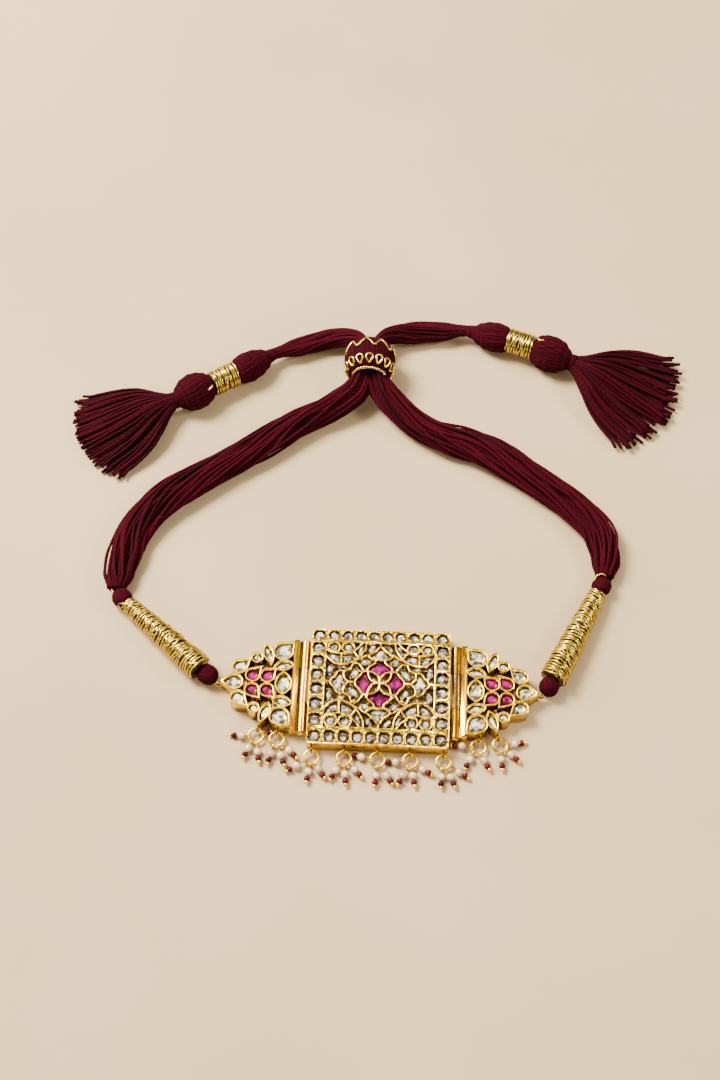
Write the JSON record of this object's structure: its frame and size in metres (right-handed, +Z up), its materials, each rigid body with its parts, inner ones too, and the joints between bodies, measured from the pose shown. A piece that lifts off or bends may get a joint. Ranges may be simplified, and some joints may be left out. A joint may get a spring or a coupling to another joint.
{
  "type": "bajuband armlet",
  "caption": "Upper-arm armlet: domed gold centre plate and two hinged side plates set with clear stones and rubies, pearl drops below, on a maroon cotton cord with a sliding bead and tassels.",
  "frame": {"origin": "middle of the centre plate's flat back", "axes": "+Z up out of the plates' faces, +X along the row of plates, +Y towards the cord's loop"},
  "size_m": [0.1865, 0.1595, 0.0154],
  "materials": {
    "gold": "polished warm gold plate",
    "clear_stone": "clear stone with a silver foil behind it",
    "ruby": "polished pink-red stone with foil behind it",
    "pearl": "soft pearl lustre",
    "cotton": "twisted maroon cotton",
    "gold_thread": "wound gold metal thread"
  },
  "bodies": {
    "root": {"border_stones": "clear_stone", "centre_head_pins": "gold", "centre_pearls": "pearl", "centre_plate": "gold", "field_stones": "clear_stone", "left_bundle": "cotton", "left_collar": "cotton", "left_head_pins": "gold", "left_hinge_pin": "gold", "left_inner_ball": "cotton", "left_knob": "cotton", "left_outer_ball": "cotton", "left_pearls": "pearl", "left_plate": "gold", "left_ruby_lower_inner": "ruby", "left_ruby_lower_outer": "ruby", "left_ruby_upper_inner": "ruby", "left_ruby_upper_outer": "ruby", "left_sleeve": "gold_thread", "left_stones": "clear_stone", "left_tail": "cotton", "left_tassel": "cotton", "left_winding": "gold_thread", "right_bundle": "cotton", "right_collar": "cotton", "right_head_pins": "gold", "right_hinge_pin": "gold", "right_inner_ball": "cotton", "right_knob": "cotton", "right_outer_ball": "cotton", "right_pearls": "pearl", "right_plate": "gold", "right_ruby_lower_inner": "ruby", "right_ruby_lower_outer": "ruby", "right_ruby_upper_inner": "ruby", "right_ruby_upper_outer": "ruby", "right_sleeve": "gold_thread", "right_stones": "clear_stone", "right_tail": "cotton", "right_tassel": "cotton", "right_winding": "gold_thread", "ring_centre_1": "gold", "ring_centre_2": "gold", "ring_centre_3": "gold", "ring_centre_4": "gold", "ring_centre_5": "gold", "ring_left_inner": "gold", "ring_left_outer": "gold", "ring_right_inner": "gold", "ring_right_outer": "gold", "ruby_bottom": "ruby", "ruby_left": "ruby", "ruby_right": "ruby", "ruby_top": "ruby", "slider_bead": "cotton"}
  },
  "joints": []
}
